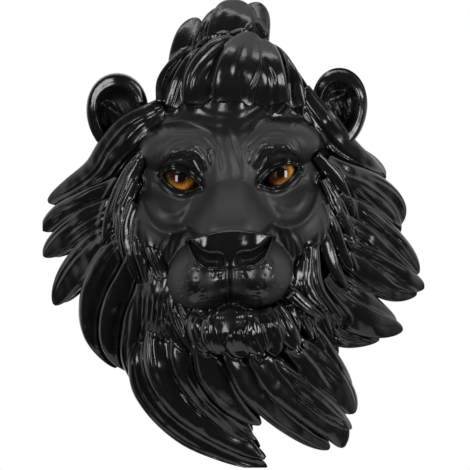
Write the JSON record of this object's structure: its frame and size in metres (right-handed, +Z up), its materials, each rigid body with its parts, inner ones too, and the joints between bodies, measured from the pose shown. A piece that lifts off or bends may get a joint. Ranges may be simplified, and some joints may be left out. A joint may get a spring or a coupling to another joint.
{
  "type": "resin lion head wall sculpture",
  "caption": "Black cast lion head that hangs flat on a wall, with a windswept mane, an upright crest, round ears and amber glass eyes.",
  "frame": {"origin": "on the flat back of the casting, at the middle of the head's width and height", "axes": "+Z up, -Y out of the wall in the direction the face looks, +X to the right as seen from the front"},
  "size_m": [0.2447, 0.1163, 0.2992],
  "materials": {
    "black_resin": "black resin, glossy on the hair, the nose and the folds, satin on the face",
    "amber_glass": "polished glass over an amber iris and a dark pupil"
  },
  "bodies": {
    "root": {"lion_head": "black_resin", "eye_left": "amber_glass", "eye_right": "amber_glass"}
  },
  "joints": []
}
